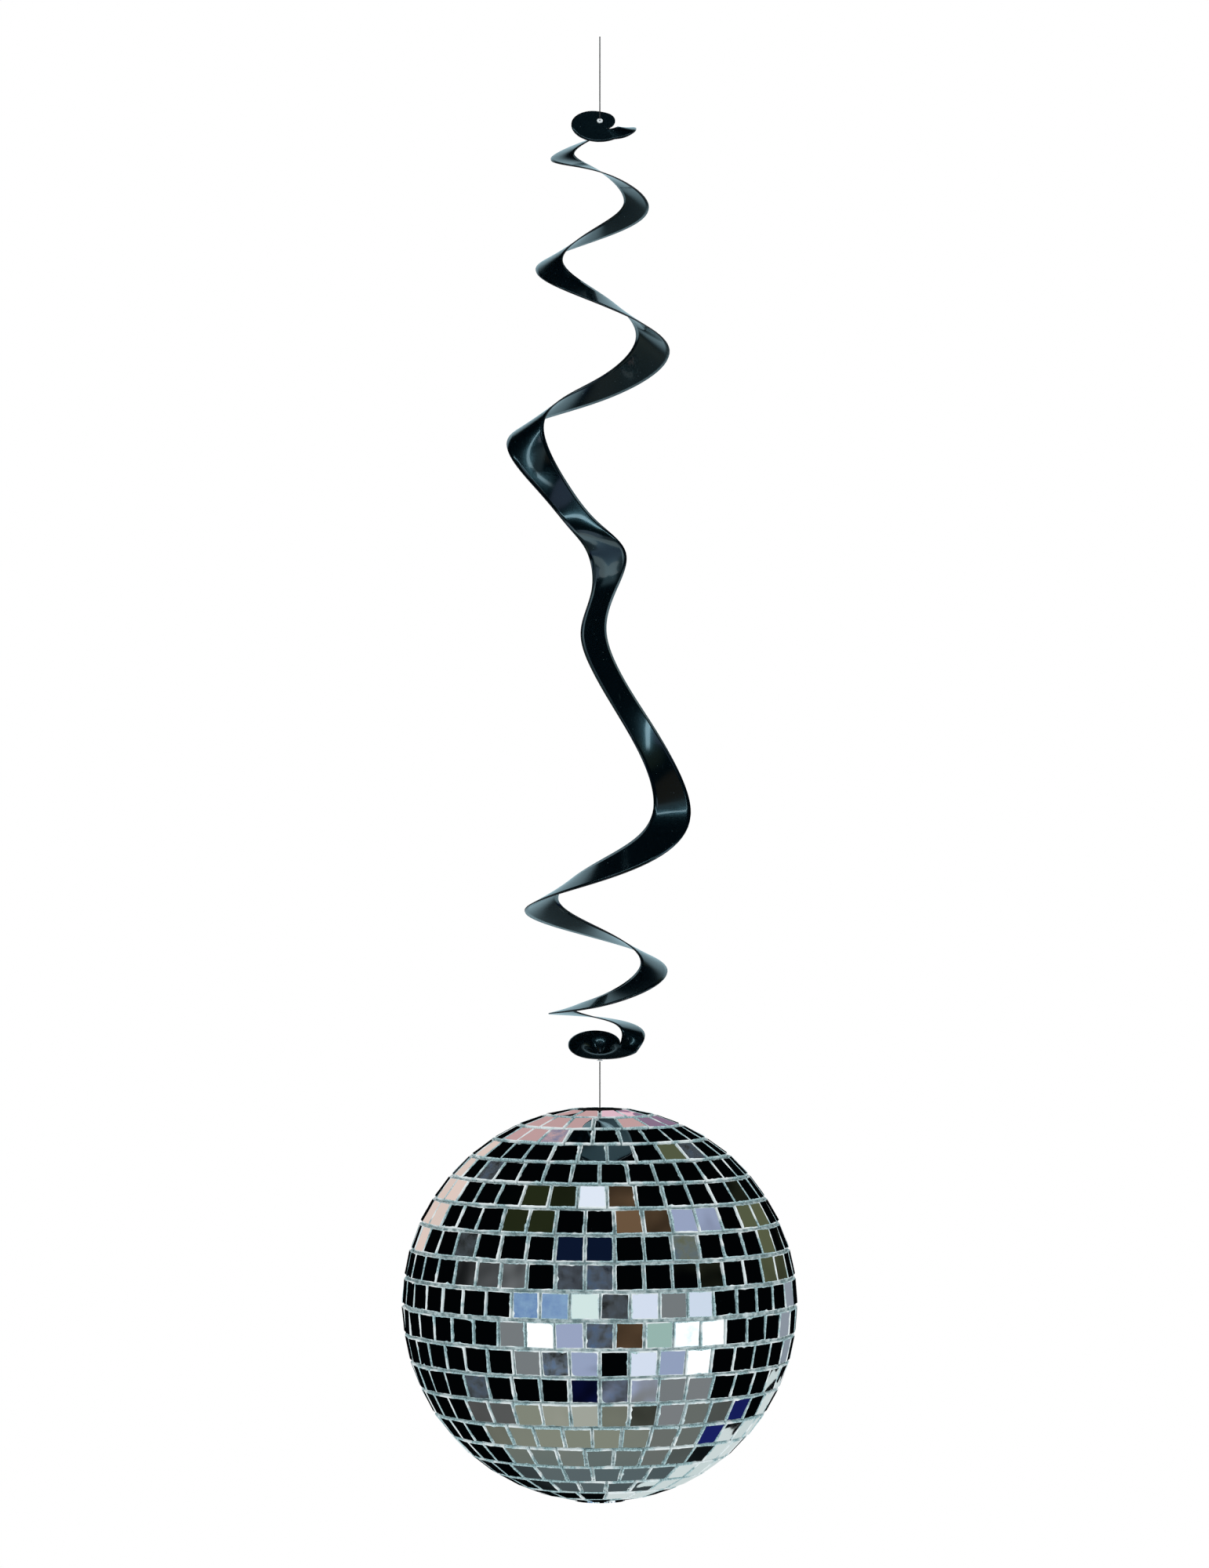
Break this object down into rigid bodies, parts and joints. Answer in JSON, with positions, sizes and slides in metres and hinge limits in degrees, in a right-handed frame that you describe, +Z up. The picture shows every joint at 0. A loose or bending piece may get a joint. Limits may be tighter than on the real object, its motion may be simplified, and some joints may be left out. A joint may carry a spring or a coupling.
{
  "type": "mirror ball on hanging swirl",
  "caption": "Mirror ball covered in small square mirrors, hung by a thread from a black spiral cut out of glossy sheet.",
  "frame": {"origin": "upper end of the hanging thread, where the object is tied up", "axes": "+Z up along the thread; the front is towards -Y and +X is to the right"},
  "size_m": [0.1524, 0.1524, 0.5644],
  "materials": {
    "mirror_glass": "silvered glass tiles with cut edges",
    "swirl_pvc": "polished black PVC sheet",
    "core_plastic": "moulded, unpainted",
    "plug_plastic": "moulded",
    "eyelet_nylon": "white nylon",
    "thread": "twisted thread"
  },
  "bodies": {
    "hanger": {"upper_thread": "thread"},
    "swirl": {"swirl_ribbon": "swirl_pvc", "top_eyelet": "eyelet_nylon", "top_knot": "thread"},
    "swirl_foot": {"bottom_eyelet": "eyelet_nylon", "bottom_knot": "thread"},
    "drop_thread": {"lower_thread": "thread"},
    "toggle": {"toggle_tie": "thread", "toggle_bar": "core_plastic", "toggle_knot": "thread"},
    "ball": {"hanging_plug": "plug_plastic", "core_upper": "core_plastic", "core_lower": "core_plastic", "seam_ring": "core_plastic", "pole_mirror": "mirror_glass", "mirror_row_01": "mirror_glass", "mirror_row_02": "mirror_glass", "mirror_row_03": "mirror_glass", "mirror_row_04": "mirror_glass", "mirror_row_05": "mirror_glass", "mirror_row_06": "mirror_glass", "mirror_row_07": "mirror_glass", "mirror_row_08": "mirror_glass", "mirror_row_09": "mirror_glass", "mirror_row_10": "mirror_glass", "mirror_row_11": "mirror_glass", "mirror_row_12": "mirror_glass", "mirror_row_13": "mirror_glass", "mirror_row_14": "mirror_glass", "mirror_row_15": "mirror_glass", "mirror_row_16": "mirror_glass", "mirror_row_17": "mirror_glass", "mirror_row_18": "mirror_glass", "mirror_row_19": "mirror_glass", "mirror_row_20": "mirror_glass"}
  },
  "joints": [
    {"name": "swirl_spin", "type": "hinge", "parent": "hanger", "child": "swirl", "pos_m": [0, 0, -0.0327], "axis": [0, 0, 1], "continuous": true},
    {"name": "swirl_stretch", "type": "slide", "parent": "swirl", "child": "swirl_foot", "axis": [0, 0, -1], "range_m": [-0.03, 0.05], "stiffness_N_per_m": 25, "springref_m": -0.121, "deforming": ["swirl_ribbon"]},
    {"name": "thread_swing", "type": "hinge", "parent": "swirl_foot", "child": "drop_thread", "pos_m": [0, 0, -0.3951], "axis": [0, 1, 0], "range_deg": [-25, 25]},
    {"name": "ball_rock", "type": "hinge", "parent": "drop_thread", "child": "toggle", "pos_m": [0, 0, -0.41275], "axis": [1, 0, 0], "range_deg": [-20, 20]},
    {"name": "ball_spin", "type": "hinge", "parent": "toggle", "child": "ball", "pos_m": [0, 0, -0.4886], "axis": [0, 0, 1], "continuous": true}
  ]
}
